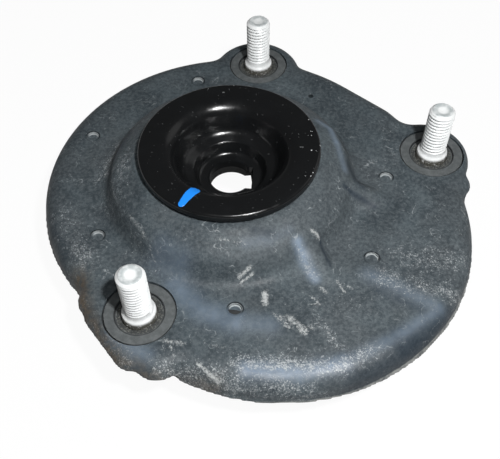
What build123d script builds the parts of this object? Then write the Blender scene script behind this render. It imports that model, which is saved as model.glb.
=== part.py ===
from build123d import *
import os
from math import cos, radians, sin

# Suspension strut top mount, in millimetres. The origin is on the rod's axis in the plane where the three
# stud pads meet the vehicle body, +Z points up along the studs, and -Y is the side of the front stud.

# Plan form of the plate and its rubber cover
LEFT_DISC = (0.5, 3.5)
LEFT_DISC_RADIUS = 74.3
RIGHT_DISC = (17.9, -15.3)
RIGHT_DISC_RADIUS = 73.8
STRAIGHT_EDGE_DISTANCE = 74.7
STRAIGHT_EDGE_AZIMUTH = 52.7
STRAIGHT_EDGE_END_INSET = 17.5
STRAIGHT_EDGE_CORNER_RADIUS = 12.0
STUD_REAR = (12.5, 69.7)
STUD_RIGHT = (81.0, 12.9)
STUD_FRONT = (-31.4, -59.5)
LOBE_REAR = (11.7, 69.8)
LOBE_REAR_RADIUS = 20.0
LOBE_RIGHT = (79.4, 15.6)
LOBE_RIGHT_RADIUS = 18.2
LOBE_FRONT = (-31.4, -59.5)
LOBE_FRONT_RADIUS = 20.3
EAR_RIGHT = (87.2, 0.3)
EAR_FRONT = (-24.6, -75.1)
EAR_SIDE = (-46.6, -51.0)
EAR_RADIUS = 8.4
FRONT_FLAT_DISTANCE = 16.6
FRONT_FLAT_AZIMUTH = 217.0
FRONT_FLAT_LENGTH = 60.0
LOBE_BLEND = 6.0
OUTLINE_CORNER_ROUND = 8.0

# Heights, measured from the stud pads
RUBBER_TOP = 0.4
RUBBER = 1.3
STEEL = 3.0
RIM_BOTTOM = -10.0
LOBE_BOTTOM = -5.5
RIM_RUBBER_FOOT = 1.0
RIM_ROLL = 7.6
RIM_LIP = 0.7
RIM_LIP_HEIGHT = 1.4

# Dome around the bush
CREST_RADIUS = 35.0
CREST_TOP = 15.2
CREST_ROUND = 3.0
SHOULDER_RADIUS = 45.0
SHOULDER_TOP = 9.4
SHOULDER_ROUND = 3.5
FOOT_RADIUS = 49.0
FOOT_ROUND = 4.5
DOME_APRON = 8.0
RIB_AZIMUTHS = (307.0, 349.0)
RIB_START_RADIUS = 36.0
RIB_START_HEIGHT = 6.4
RIB_END_RADIUS = 62.0
RIB_END_HEIGHT = -5.2
RIB_RADIUS = 5.4

# Stud pads, core-pin dimples and the gauge dot in the rubber
PAD_SEAT_RADIUS = 15.6
PAD_SEAT_ROUND = 5.4
PAD_RADIUS = 12.3
PAD_GROOVE = 0.6
PAD_DISH_RADIUS = 8.6
PAD_DISH_DEPTH = 0.7
BOND_GAP = 0.1
DIMPLE_RADIUS = 2.3
DIMPLE_DEPTH = 1.0
DIMPLES = ((62.7, 155.6), (60.7, 103.7), (55.9, 207.9), (59.1, 271.4), (63.7, 323.0), (61.0, 0.1))
SMALL_DIMPLE = (59.1, 54.0)
SMALL_DIMPLE_RADIUS = 1.1
GAUGE_DOT = (68.0, 63.9)
GAUGE_DOT_RADIUS = 1.5
GAUGE_DOT_HEIGHT = 0.7

# Studs
THREAD_MAJOR_RADIUS = 4.95
STUD_TOP = 23.6
STUD_CHAMFER = 1.2
STUD_CUP_RADIUS = 3.0
STUD_CUP_DEPTH = 0.4
COLLAR_RADIUS = 5.85
COLLAR_TOP = 4.0
COLLAR_CHAMFER = 0.5
KNURL_ROOT_RADIUS = 6.15
KNURL_TOOTH = 0.32
KNURL_TOOTH_RADIUS = 0.48
KNURL_TEETH = 30
KNURL_TOP = 1.1
STUD_HEAD_RADIUS = 7.5
STUD_HEAD = 3.0
STUD_HEAD_CHAMFER = 0.6
STUD_HOLE_PLAY = 0.03

# Rod hole and top cup
ROD_HOLE_RADIUS = 8.2
ROD_FLAT_DISTANCE = 8.5
ROD_FLAT_WIDTH = 11.0
ROD_FLAT_AZIMUTH = 5.5
CUP_SHEET = 3.0
CUP_FLOOR_TOP = 2.6
CUP_BOWL_RADIUS = 13.2
CUP_LEDGE_START = 15.2
CUP_LEDGE_END = 18.0
CUP_LEDGE_HEIGHT = 6.3
CUP_LEDGE_RISE = 1.0
CUP_NECK_RADIUS = 23.4
CUP_RIM_RADIUS = 34.1
CUP_RIM_TOP = 20.0
CUP_FLOOR_ROUND = 2.5
CUP_LEDGE_ROUND = 1.8
CUP_SHOULDER_ROUND = 3.6
CUP_EDGE_ROUND = 1.2
CUP_UNDER_EDGE_ROUND = 0.5

# Bush: inner shell, rubber ring, outer ring and retainer
SOFT_GAP = 0.3
SHELL_SHEET = 3.4
SHELL_NECK_STEP = 1.7
SHELL_TOP = 11.0
SHELL_ROUND = 3.2
DOME_OPENING_MARGIN = 3.6
OUTER_RING_STEP = 5.9
OUTER_RING_WALL = 2.0
OUTER_RING_TOP = 3.4
RETAINER_INNER_RADIUS = 33.0
RETAINER = 2.0
ISOLATOR_FOOT = -6.6

# Annular bearing
STUD_HEAD_CLEARANCE = 1.8
BEARING_HALF_WIDTH = 8.0
HOUSING_FLOOR = 5.1
HOUSING_COLLAR = 5.7
HOUSING_SKIRT = 1.8
HOUSING_SKIRT_BOTTOM = -17.0
BALL_RADIUS = 2.5
BALL_COUNT = 24
BALL_HEIGHT = -15.0
BALL_PLAY = 0.1
RACE_SIDE_PLAY = 1.7
RACE = 2.3
RACE_GAP = 1.7
CAGE_INSET = 0.3
CAGE = 2.0
CAGE_POCKET_PLAY = 0.25
LOWER_HOUSING = 5.0
SEAL = 1.6
SEAL_GAP = 0.4
SEAT = 2.0
SEAT_LIP_INSET = 2.0
SEAT_LIP_BOTTOM = -30.4
SEAT_ROUND = 2.0
PAD_THICKNESS = 5.0
COIL_GROOVE_RADIUS = 6.5
COIL_GROOVE_DEPTH = 2.0
EDGE_BREAK = 0.4

# Reaches and radii that follow from the studs and the dome
STRAIGHT_EDGE_HALF_LENGTH = (Vector(*STUD_RIGHT) - Vector(*STUD_REAR)).length / 2 - STRAIGHT_EDGE_END_INSET
DOME_SKETCH_RADIUS = FOOT_RADIUS + DOME_APRON
OUTER_RING_RADIUS = CREST_RADIUS + OUTER_RING_STEP
OUTER_RING_INNER_RADIUS = OUTER_RING_RADIUS - OUTER_RING_WALL
BEARING_RADIUS = Vector(*STUD_FRONT).length - STUD_HEAD_RADIUS - STUD_HEAD_CLEARANCE
PITCH_RADIUS = BEARING_RADIUS - BEARING_HALF_WIDTH
BEARING_INNER_RADIUS = PITCH_RADIUS - BEARING_HALF_WIDTH
RACE_HALF_WIDTH = BEARING_HALF_WIDTH - HOUSING_SKIRT - RACE_SIDE_PLAY
SEAL_WIDTH = BEARING_HALF_WIDTH - RACE_HALF_WIDTH - 2 * SEAL_GAP
SEAT_LIP_RADIUS = BEARING_INNER_RADIUS - SEAT_LIP_INSET
RETAINER_RADIUS = BEARING_RADIUS - HOUSING_COLLAR - SOFT_GAP
SHELL_OUTER_RADIUS = CUP_NECK_RADIUS + SHELL_NECK_STEP
COVER_OPENING_RADIUS = SHELL_OUTER_RADIUS + SOFT_GAP
DOME_OPENING_RADIUS = COVER_OPENING_RADIUS + DOME_OPENING_MARGIN
STUD_HOLE_RADIUS = KNURL_ROOT_RADIUS + KNURL_TOOTH + STUD_HOLE_PLAY

# Heights that follow from the stack of pieces
STEEL_TOP = RUBBER_TOP - RUBBER
STEEL_UNDERSIDE = STEEL_TOP - STEEL
CREST_STEEL_UNDERSIDE = CREST_TOP - RUBBER - STEEL
CUP_FLOOR_BOTTOM = CUP_FLOOR_TOP - CUP_SHEET
RETAINER_BOTTOM = STEEL_UNDERSIDE - RETAINER
HOUSING_BOTTOM = RETAINER_BOTTOM - HOUSING_FLOOR
UPPER_RACE_BOTTOM = BALL_HEIGHT + RACE_GAP
LOWER_RACE_TOP = BALL_HEIGHT - RACE_GAP
LOWER_HOUSING_TOP = LOWER_RACE_TOP - RACE
LOWER_HOUSING_BOTTOM = LOWER_HOUSING_TOP - LOWER_HOUSING
SEAT_BOTTOM = LOWER_HOUSING_BOTTOM - SEAT
FOOT_BOTTOM = SEAT_BOTTOM - PAD_THICKNESS
STEEL_RIM_BOTTOM = RIM_BOTTOM + RIM_RUBBER_FOOT
STEEL_LOBE_BOTTOM = LOBE_BOTTOM + RUBBER / 2
THROUGH = 2 * CREST_TOP
STUDS = {"stud_rear": STUD_REAR, "stud_right": STUD_RIGHT, "stud_front": STUD_FRONT}

os.makedirs("parts", exist_ok=True)


def write(part, name):
    """Labels a finished piece and writes it as one STEP file."""
    part.label = name
    export_step(part, f"parts/{name}.step")


def polar(radius, azimuth):
    """Point in plan at a radius and azimuth around the rod's axis."""
    return (radius * cos(radians(azimuth)), radius * sin(radians(azimuth)))


def disc_outline(inset):
    """Main outline: the hull of two discs and of the straight edge between the rear and right studs."""
    middle = Vector(*polar(STRAIGHT_EDGE_DISTANCE - STRAIGHT_EDGE_CORNER_RADIUS, STRAIGHT_EDGE_AZIMUTH))
    reach = Vector(*polar(STRAIGHT_EDGE_HALF_LENGTH, STRAIGHT_EDGE_AZIMUTH - 90))
    with BuildSketch() as disc:
        with Locations(LEFT_DISC):
            Circle(LEFT_DISC_RADIUS - inset)
        with Locations(RIGHT_DISC):
            Circle(RIGHT_DISC_RADIUS - inset)
        with Locations(middle - reach, middle + reach):
            Circle(STRAIGHT_EDGE_CORNER_RADIUS - inset)
        make_hull()
    return disc.sketch


def full_outline(inset):
    """Outline with the stud lobes, their ears and the flat edge outside the front stud, blended softly."""
    flat_reach = Vector(*polar(FRONT_FLAT_DISTANCE + FRONT_FLAT_LENGTH / 2, FRONT_FLAT_AZIMUTH))
    with BuildSketch() as full:
        with Locations(LOBE_FRONT):
            Circle(LOBE_FRONT_RADIUS)
        with Locations(Vector(*LOBE_FRONT) + flat_reach):
            Rectangle(FRONT_FLAT_LENGTH, FRONT_FLAT_LENGTH, rotation=FRONT_FLAT_AZIMUTH, mode=Mode.SUBTRACT)
        with Locations(EAR_FRONT, EAR_SIDE, EAR_RIGHT):
            Circle(EAR_RADIUS)
        with Locations(LOBE_REAR):
            Circle(LOBE_REAR_RADIUS)
        with Locations(LOBE_RIGHT):
            Circle(LOBE_RIGHT_RADIUS)
        add(disc_outline(0))
        offset(amount=LOBE_BLEND)
        offset(amount=-LOBE_BLEND - OUTLINE_CORNER_ROUND)
        offset(amount=OUTLINE_CORNER_ROUND - inset)
    return full.sketch


def pad_seats(inset, top, bottom):
    """Round seats around the studs, level as far as the pads reach and rolled down outside them."""
    with BuildPart() as seats:
        with BuildSketch(Plane.XY.offset(top)):
            with Locations(*STUDS.values()):
                Circle(PAD_SEAT_RADIUS - inset)
        extrude(amount=bottom - top)
        fillet(seats.edges().group_by(Axis.Z)[-1], PAD_SEAT_ROUND - inset)
    return seats.part


def plate_form(inset, drop, bottom):
    """Closed form of the plate, rolled rim and dome: smaller by an inset in plan and a drop in height."""
    top = RUBBER_TOP - drop
    with BuildPart() as form:
        with BuildSketch(Plane.XY.offset(top)):
            add(full_outline(inset))
        extrude(amount=bottom - top)
        fillet(form.faces().sort_by(Axis.Z)[-1].edges(), RIM_ROLL - inset)
        add(pad_seats(inset, top, bottom))
        with BuildSketch(Plane.XZ) as dome:
            with BuildLine():
                Polyline(
                    (0, bottom),
                    (DOME_SKETCH_RADIUS, bottom),
                    (DOME_SKETCH_RADIUS, top),
                    (FOOT_RADIUS - inset, top),
                    (SHOULDER_RADIUS - inset, SHOULDER_TOP - drop),
                    (CREST_RADIUS - inset / 2, CREST_TOP - drop),
                    (0, CREST_TOP - drop),
                    close=True,
                )
            make_face()
            crest, shoulder, foot = dome.vertices().sort_by(Axis.X)[2:5]
            fillet(foot, FOOT_ROUND + inset)
            fillet(shoulder, SHOULDER_ROUND - inset / 2)
            fillet(crest, CREST_ROUND - inset / 2)
        revolve(axis=Axis.Z)
    return form.part


def rod_hole():
    """Outline of the hole for the rod: round, and square where it ends on the rod's flat."""
    with BuildSketch() as hole:
        Circle(ROD_HOLE_RADIUS)
        with Locations(Rot(Z=ROD_FLAT_AZIMUTH)):
            Rectangle(ROD_FLAT_DISTANCE, ROD_FLAT_WIDTH, align=(Align.MIN, Align.CENTER))
    return hole.sketch


def ring(inner, outer, bottom, top):
    """Flat ring around the rod's axis with broken edges."""
    with BuildPart() as flat_ring:
        with BuildSketch(Plane.XY.offset(bottom)):
            Circle(outer)
            Circle(inner, mode=Mode.SUBTRACT)
        extrude(amount=top - bottom)
        chamfer(flat_ring.edges().filter_by(GeomType.CIRCLE), EDGE_BREAK)
    return flat_ring.part


def race(face, back):
    """Bearing race between its flat back and its face, which has a groove that the balls run in."""
    inner = PITCH_RADIUS - RACE_HALF_WIDTH
    outer = PITCH_RADIUS + RACE_HALF_WIDTH
    with BuildPart() as grooved:
        add(ring(inner, outer, min(face, back), max(face, back)))
        with BuildSketch(Plane.XZ):
            with Locations((PITCH_RADIUS, BALL_HEIGHT)):
                Circle(BALL_RADIUS + BALL_PLAY)
        revolve(axis=Axis.Z, mode=Mode.SUBTRACT)
    return grooved.part


# Mounting plate: pressed steel with a dome, a turned-down rim and raised, dished pads at the studs
with BuildPart() as mounting_plate:
    add(plate_form(RUBBER, RUBBER, STEEL_RIM_BOTTOM))
    add(plate_form(RUBBER + STEEL, RUBBER + STEEL, RIM_BOTTOM), mode=Mode.SUBTRACT)
    with BuildSketch(Plane.XY.offset(STEEL_LOBE_BOTTOM)):
        add(full_outline(0))
        add(disc_outline(RUBBER), mode=Mode.SUBTRACT)
    extrude(amount=RIM_BOTTOM, mode=Mode.SUBTRACT)
    with BuildSketch(Plane.XY.offset(STEEL_UNDERSIDE)):
        with Locations(*STUDS.values()):
            Circle(PAD_RADIUS)
    extrude(amount=-STEEL_UNDERSIDE)
    with BuildSketch(Plane.XY):
        with Locations(*STUDS.values()):
            Circle(PAD_DISH_RADIUS)
    extrude(amount=-PAD_DISH_DEPTH, mode=Mode.SUBTRACT)
    with BuildSketch(Plane.XY):
        Circle(DOME_OPENING_RADIUS)
        with Locations(*STUDS.values()):
            Circle(STUD_HOLE_RADIUS)
    extrude(amount=THROUGH, both=True, mode=Mode.SUBTRACT)
write(mounting_plate.part, "mounting_plate")

# Rubber cover: moulded over the plate, closed around the rim's lower edge, open at the stud pads
with BuildPart() as rubber_cover:
    add(plate_form(0, 0, RIM_BOTTOM))
    for azimuth in RIB_AZIMUTHS:
        rib_start = Vector(*polar(RIB_START_RADIUS, azimuth), RIB_START_HEIGHT)
        rib_end = Vector(*polar(RIB_END_RADIUS, azimuth), RIB_END_HEIGHT)
        with BuildSketch(Plane(origin=rib_start, z_dir=rib_end - rib_start)):
            Circle(RIB_RADIUS)
        extrude(amount=(rib_end - rib_start).length)
    with BuildSketch(Plane.XY.offset(RIM_BOTTOM)):
        add(disc_outline(-RIM_LIP))
    extrude(amount=RIM_LIP_HEIGHT)
    add(plate_form(RUBBER - BOND_GAP, RUBBER, STEEL_RIM_BOTTOM), mode=Mode.SUBTRACT)
    add(plate_form(RUBBER + STEEL, RUBBER + STEEL, 2 * RIM_BOTTOM), mode=Mode.SUBTRACT)
    with BuildSketch(Plane.XY.offset(LOBE_BOTTOM)):
        add(full_outline(-RUBBER))
        add(disc_outline(-RIM_LIP), mode=Mode.SUBTRACT)
    extrude(amount=RIM_BOTTOM - LOBE_BOTTOM, mode=Mode.SUBTRACT)
    with BuildSketch(Plane.XY):
        Circle(COVER_OPENING_RADIUS)
        with Locations(*STUDS.values()):
            Circle(PAD_RADIUS + PAD_GROOVE)
    extrude(amount=THROUGH, both=True, mode=Mode.SUBTRACT)
    with BuildSketch(Plane.XY.offset(RUBBER_TOP)):
        with Locations(*[polar(*place) for place in DIMPLES]):
            Circle(DIMPLE_RADIUS)
        with Locations(polar(*SMALL_DIMPLE)):
            Circle(SMALL_DIMPLE_RADIUS)
    extrude(amount=-DIMPLE_DEPTH, mode=Mode.SUBTRACT)
    with BuildSketch(Plane.XY.offset(RUBBER_TOP - DIMPLE_DEPTH)):
        with Locations(polar(*GAUGE_DOT)):
            Circle(GAUGE_DOT_RADIUS)
    extrude(amount=DIMPLE_DEPTH + GAUGE_DOT_HEIGHT)
write(rubber_cover.part, "rubber_cover")

# Studs: head under the plate, knurled shank pressed into it, smooth collar, thread and a cupped end
for stud_name, (stud_x, stud_y) in STUDS.items():
    with BuildPart() as stud:
        with BuildSketch(Plane(origin=(stud_x, stud_y, 0), x_dir=(1, 0, 0), z_dir=(0, -1, 0))):
            with BuildLine():
                Polyline(
                    (0, STEEL_UNDERSIDE - STUD_HEAD),
                    (STUD_HEAD_RADIUS - STUD_HEAD_CHAMFER, STEEL_UNDERSIDE - STUD_HEAD),
                    (STUD_HEAD_RADIUS, STEEL_UNDERSIDE - STUD_HEAD + STUD_HEAD_CHAMFER),
                    (STUD_HEAD_RADIUS, STEEL_UNDERSIDE),
                    (KNURL_ROOT_RADIUS, STEEL_UNDERSIDE),
                    (KNURL_ROOT_RADIUS, KNURL_TOP),
                    (COLLAR_RADIUS, KNURL_TOP),
                    (COLLAR_RADIUS, COLLAR_TOP - COLLAR_CHAMFER),
                    (THREAD_MAJOR_RADIUS, COLLAR_TOP),
                    (THREAD_MAJOR_RADIUS, STUD_TOP - STUD_CHAMFER),
                    (THREAD_MAJOR_RADIUS - STUD_CHAMFER, STUD_TOP),
                    (STUD_CUP_RADIUS, STUD_TOP),
                    (0, STUD_TOP - STUD_CUP_DEPTH),
                    close=True,
                )
            make_face()
        revolve(axis=Axis((stud_x, stud_y, 0), (0, 0, 1)))
        with BuildSketch(Plane.XY.offset(STEEL_UNDERSIDE)):
            with Locations((stud_x, stud_y)):
                with PolarLocations(KNURL_ROOT_RADIUS + KNURL_TOOTH - KNURL_TOOTH_RADIUS, KNURL_TEETH):
                    RegularPolygon(KNURL_TOOTH_RADIUS, 3)
        extrude(amount=KNURL_TOP - KNURL_TOOTH - STEEL_UNDERSIDE)
    write(stud.part, stud_name)

# Top cup: pressed sheet with a D-hole in its floor, a stepped well and a wide flange
with BuildPart() as top_cup:
    with BuildSketch(Plane.XZ):
        with BuildLine():
            FilletPolyline(
                (ROD_HOLE_RADIUS / 2, CUP_FLOOR_TOP - CUP_SHEET / 2),
                (CUP_BOWL_RADIUS, CUP_FLOOR_TOP - CUP_SHEET / 2),
                (CUP_LEDGE_START, CUP_LEDGE_HEIGHT),
                (CUP_LEDGE_END, CUP_LEDGE_HEIGHT + CUP_LEDGE_RISE),
                (CUP_NECK_RADIUS, CUP_RIM_TOP - CUP_SHEET / 2),
                (CUP_RIM_RADIUS, CUP_RIM_TOP - CUP_SHEET / 2),
                radius=(CUP_FLOOR_ROUND, CUP_LEDGE_ROUND, CUP_LEDGE_ROUND, CUP_SHOULDER_ROUND),
            )
        trace(line_width=CUP_SHEET)
    revolve(axis=Axis.Z)
    with BuildSketch(Plane.XY):
        add(rod_hole())
    extrude(amount=CUP_RIM_TOP, both=True, mode=Mode.SUBTRACT)
    circles = top_cup.edges().filter_by(GeomType.CIRCLE)
    rims = circles.filter_by(lambda edge: edge.radius > CUP_RIM_RADIUS - EDGE_BREAK)
    lower_rim, upper_rim = rims.sort_by(Axis.Z)
    fillet(upper_rim, CUP_EDGE_ROUND)
    fillet(lower_rim, CUP_UNDER_EDGE_ROUND)
write(top_cup.part, "top_cup")

# Core shell: inner metal of the bush, with the same D-hole, clamped under the top cup
with BuildPart() as core_shell:
    with BuildSketch(Plane.XZ):
        with BuildLine():
            FilletPolyline(
                (ROD_HOLE_RADIUS / 2, CUP_FLOOR_BOTTOM - SHELL_SHEET / 2),
                (SHELL_OUTER_RADIUS - SHELL_SHEET / 2, CUP_FLOOR_BOTTOM - SHELL_SHEET / 2),
                (SHELL_OUTER_RADIUS - SHELL_SHEET / 2, SHELL_TOP),
                radius=SHELL_ROUND,
            )
        trace(line_width=SHELL_SHEET)
    revolve(axis=Axis.Z)
    with BuildSketch(Plane.XY):
        add(rod_hole())
    extrude(amount=SHELL_TOP, both=True, mode=Mode.SUBTRACT)
write(core_shell.part, "core_shell")

# Isolator: rubber of the bush, carried on the retainer and closed by the dome and the cover's inner edge
with BuildPart() as isolator:
    with BuildSketch(Plane.XZ):
        with BuildLine():
            Polyline(
                (COVER_OPENING_RADIUS, ISOLATOR_FOOT),
                (RETAINER_INNER_RADIUS - SOFT_GAP, ISOLATOR_FOOT),
                (RETAINER_INNER_RADIUS - SOFT_GAP, STEEL_UNDERSIDE),
                (OUTER_RING_INNER_RADIUS - BOND_GAP, STEEL_UNDERSIDE),
                (OUTER_RING_INNER_RADIUS - BOND_GAP, OUTER_RING_TOP),
                (CREST_RADIUS - STEEL, CREST_STEEL_UNDERSIDE),
                (DOME_OPENING_RADIUS - BOND_GAP, CREST_STEEL_UNDERSIDE),
                (DOME_OPENING_RADIUS - BOND_GAP, CREST_TOP - RUBBER),
                (COVER_OPENING_RADIUS, CREST_TOP - RUBBER),
                close=True,
            )
        make_face()
    revolve(axis=Axis.Z)
write(isolator.part, "isolator")

# Outer ring and retainer of the bush, both resting flat against the plate's underside
with BuildPart() as bush_outer_ring:
    add(ring(OUTER_RING_INNER_RADIUS, OUTER_RING_RADIUS, STEEL_UNDERSIDE, OUTER_RING_TOP))
write(bush_outer_ring.part, "bush_outer_ring")

with BuildPart() as bush_retainer:
    add(ring(RETAINER_INNER_RADIUS, RETAINER_RADIUS, RETAINER_BOTTOM, STEEL_UNDERSIDE))
write(bush_retainer.part, "bush_retainer")

# Upper bearing housing: a collar around the retainer and two skirts that cover the races
with BuildPart() as bearing_upper_housing:
    with BuildSketch(Plane.XZ):
        with BuildLine():
            Polyline(
                (BEARING_INNER_RADIUS, RETAINER_BOTTOM),
                (RETAINER_RADIUS + SOFT_GAP, RETAINER_BOTTOM),
                (RETAINER_RADIUS + SOFT_GAP, STEEL_UNDERSIDE),
                (BEARING_RADIUS, STEEL_UNDERSIDE),
                (BEARING_RADIUS, HOUSING_SKIRT_BOTTOM),
                (BEARING_RADIUS - HOUSING_SKIRT, HOUSING_SKIRT_BOTTOM),
                (BEARING_RADIUS - HOUSING_SKIRT, HOUSING_BOTTOM),
                (BEARING_INNER_RADIUS + HOUSING_SKIRT, HOUSING_BOTTOM),
                (BEARING_INNER_RADIUS + HOUSING_SKIRT, HOUSING_SKIRT_BOTTOM),
                (BEARING_INNER_RADIUS, HOUSING_SKIRT_BOTTOM),
                close=True,
            )
        make_face()
    revolve(axis=Axis.Z)
write(bearing_upper_housing.part, "bearing_upper_housing")

with BuildPart() as upper_race:
    add(race(UPPER_RACE_BOTTOM, HOUSING_BOTTOM))
write(upper_race.part, "upper_race")

with BuildPart() as lower_race:
    add(race(LOWER_RACE_TOP, LOWER_HOUSING_TOP))
write(lower_race.part, "lower_race")

# Balls and their cage
with BuildPart(Plane.XY.offset(BALL_HEIGHT)) as ball_set:
    with PolarLocations(PITCH_RADIUS, BALL_COUNT):
        Sphere(BALL_RADIUS)
write(ball_set.part, "ball_set")

with BuildPart() as ball_cage:
    with BuildSketch(Plane.XY.offset(BALL_HEIGHT - CAGE / 2)):
        Circle(PITCH_RADIUS + RACE_HALF_WIDTH - CAGE_INSET)
        Circle(PITCH_RADIUS - RACE_HALF_WIDTH + CAGE_INSET, mode=Mode.SUBTRACT)
        with PolarLocations(PITCH_RADIUS, BALL_COUNT):
            Circle(BALL_RADIUS + CAGE_POCKET_PLAY, mode=Mode.SUBTRACT)
    extrude(amount=CAGE)
write(ball_cage.part, "ball_cage")

# Lower bearing housing with a seal at each side, the spring seat under it and the seat's rubber pad
with BuildPart() as bearing_lower_housing:
    add(ring(BEARING_INNER_RADIUS, BEARING_RADIUS, LOWER_HOUSING_BOTTOM, LOWER_HOUSING_TOP))
write(bearing_lower_housing.part, "bearing_lower_housing")

seal_top = LOWER_HOUSING_TOP + SEAL
seal_inner = BEARING_INNER_RADIUS + SEAL_GAP
seal_outer = BEARING_RADIUS - SEAL_GAP
with BuildPart() as inner_seal:
    add(ring(seal_inner, seal_inner + SEAL_WIDTH, LOWER_HOUSING_TOP, seal_top))
write(inner_seal.part, "inner_seal")

with BuildPart() as outer_seal:
    add(ring(seal_outer - SEAL_WIDTH, seal_outer, LOWER_HOUSING_TOP, seal_top))
write(outer_seal.part, "outer_seal")

with BuildPart() as spring_seat:
    with BuildSketch(Plane.XZ):
        with BuildLine():
            FilletPolyline(
                (BEARING_RADIUS, LOWER_HOUSING_BOTTOM - SEAT / 2),
                (SEAT_LIP_RADIUS, LOWER_HOUSING_BOTTOM - SEAT / 2),
                (SEAT_LIP_RADIUS, SEAT_LIP_BOTTOM),
                radius=SEAT_ROUND,
            )
        trace(line_width=SEAT)
    revolve(axis=Axis.Z)
write(spring_seat.part, "spring_seat")

with BuildPart() as spring_pad:
    add(ring(BEARING_INNER_RADIUS + SOFT_GAP, BEARING_RADIUS, FOOT_BOTTOM, SEAT_BOTTOM))
    with BuildSketch(Plane.XZ):
        with Locations((PITCH_RADIUS, FOOT_BOTTOM + COIL_GROOVE_DEPTH - COIL_GROOVE_RADIUS)):
            Circle(COIL_GROOVE_RADIUS)
    revolve(axis=Axis.Z, mode=Mode.SUBTRACT)
write(spring_pad.part, "spring_pad")
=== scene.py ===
"""Upper mount of a suspension strut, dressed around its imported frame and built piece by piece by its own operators."""

from math import atan2, cos, pi, radians, sin, tan

import bpy
import numpy as np
from mathutils import Matrix, Vector


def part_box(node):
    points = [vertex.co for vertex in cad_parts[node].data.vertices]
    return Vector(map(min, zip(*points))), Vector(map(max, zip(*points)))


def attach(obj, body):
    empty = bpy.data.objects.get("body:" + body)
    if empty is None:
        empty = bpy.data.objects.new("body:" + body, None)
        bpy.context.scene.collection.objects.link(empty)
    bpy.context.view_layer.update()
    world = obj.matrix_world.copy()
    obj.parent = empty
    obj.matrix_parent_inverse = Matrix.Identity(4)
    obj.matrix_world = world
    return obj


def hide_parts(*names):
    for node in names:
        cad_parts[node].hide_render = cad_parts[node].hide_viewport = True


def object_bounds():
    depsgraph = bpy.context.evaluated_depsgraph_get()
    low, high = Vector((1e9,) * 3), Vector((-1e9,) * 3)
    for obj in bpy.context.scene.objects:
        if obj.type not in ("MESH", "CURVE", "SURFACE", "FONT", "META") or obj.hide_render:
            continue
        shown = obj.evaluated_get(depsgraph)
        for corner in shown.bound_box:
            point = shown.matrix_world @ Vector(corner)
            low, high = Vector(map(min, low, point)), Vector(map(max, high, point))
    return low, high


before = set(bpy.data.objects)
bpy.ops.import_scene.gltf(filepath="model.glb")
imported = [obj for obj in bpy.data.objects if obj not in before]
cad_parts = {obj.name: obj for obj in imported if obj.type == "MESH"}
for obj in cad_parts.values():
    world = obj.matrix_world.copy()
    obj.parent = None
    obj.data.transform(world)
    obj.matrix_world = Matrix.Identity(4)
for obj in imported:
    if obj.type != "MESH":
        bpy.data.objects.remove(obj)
CAD_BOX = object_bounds()

bl_info = {
    "name": "Strut top mount",
    "version": (1, 0, 0),
    "blender": (4, 5, 0),
    "location": "3D View > Sidebar > Mount",
    "description": "Builds a strut's upper mount: its rubber cover, pressed cup, threaded studs and finishes",
    "category": "Add Mesh",
}

MM = 0.001
# Sizes are in millimetres, places are over the plate from the rod's axis, and heights are from its stud pads
STUDS = {"stud_rear": (12.5, 69.7), "stud_right": (81.0, 12.9), "stud_front": (-31.4, -59.5)}
STUD_TOP = 23.6
COLLAR_TOP = 3.5
THREAD_TURNS = 15
SPLINES = 30
SPLINE_ROOT = 6.12
SPLINE_CREST = 6.46
SPLINE_CHAMFER = 0.16

# Core-pin dimples: distance from the rod's axis and angle in degrees, with the small one last
DIMPLES = ((62.7, 155.6), (60.7, 103.7), (55.9, 207.9), (59.1, 271.4), (63.7, 323.0), (61.0, 0.1), (59.1, 54.0))
*DIMPLE_CENTRES, SMALL_DIMPLE = [(r * cos(radians(a)), r * sin(radians(a))) for r, a in DIMPLES]
DIMPLE_RADIUS = 2.45
SMALL_DIMPLE_RADIUS = 1.1
DIMPLE_FLOOR = -0.72
PLUG_MARGIN = 0.8
RUBBER_TOP = 0.4
PAD_OPENING = 12.9

# The camera fitted to the photograph: its picture in pixels, its turns in radians and its place in metres
PHOTO_SIZE = (500, 459)
IMAGE_CENTRE = (247.37, 237.31)
FOCAL_LENGTH = 721.22
SENSOR_WIDTH = 36.0
CAMERA_DOWN = 0.921660
CAMERA_ROLL = -0.0190344
CAMERA_PLACE = (0.006118, -0.188924, 0.212269)
# How far the floor lies below the part, in metres
FLOOR_GAP = 0.0002

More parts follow.
